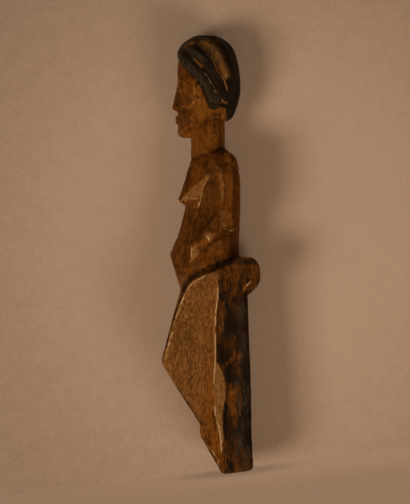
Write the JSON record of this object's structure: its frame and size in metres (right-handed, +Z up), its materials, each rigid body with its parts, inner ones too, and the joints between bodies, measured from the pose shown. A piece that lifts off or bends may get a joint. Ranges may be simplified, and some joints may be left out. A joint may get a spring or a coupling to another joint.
{
  "type": "carved wooden figure",
  "caption": "Standing carved wooden female figure with a long neck, rolled and crested hair, hands on a pointed belly and long flat-sided legs, on a slanting sawn foot.",
  "frame": {"origin": "middle of the sawn underside of the foot, on the surface it stands on", "axes": "+Z up, -Y the way the figure faces, +X to the figure's own left"},
  "size_m": [0.04, 0.0613, 0.2412],
  "materials": {
    "carved_wood": "hand-polished, dark brown, stained black on the hair and the back of the legs"
  },
  "bodies": {
    "root": {"carved_figure": "carved_wood"}
  },
  "joints": []
}
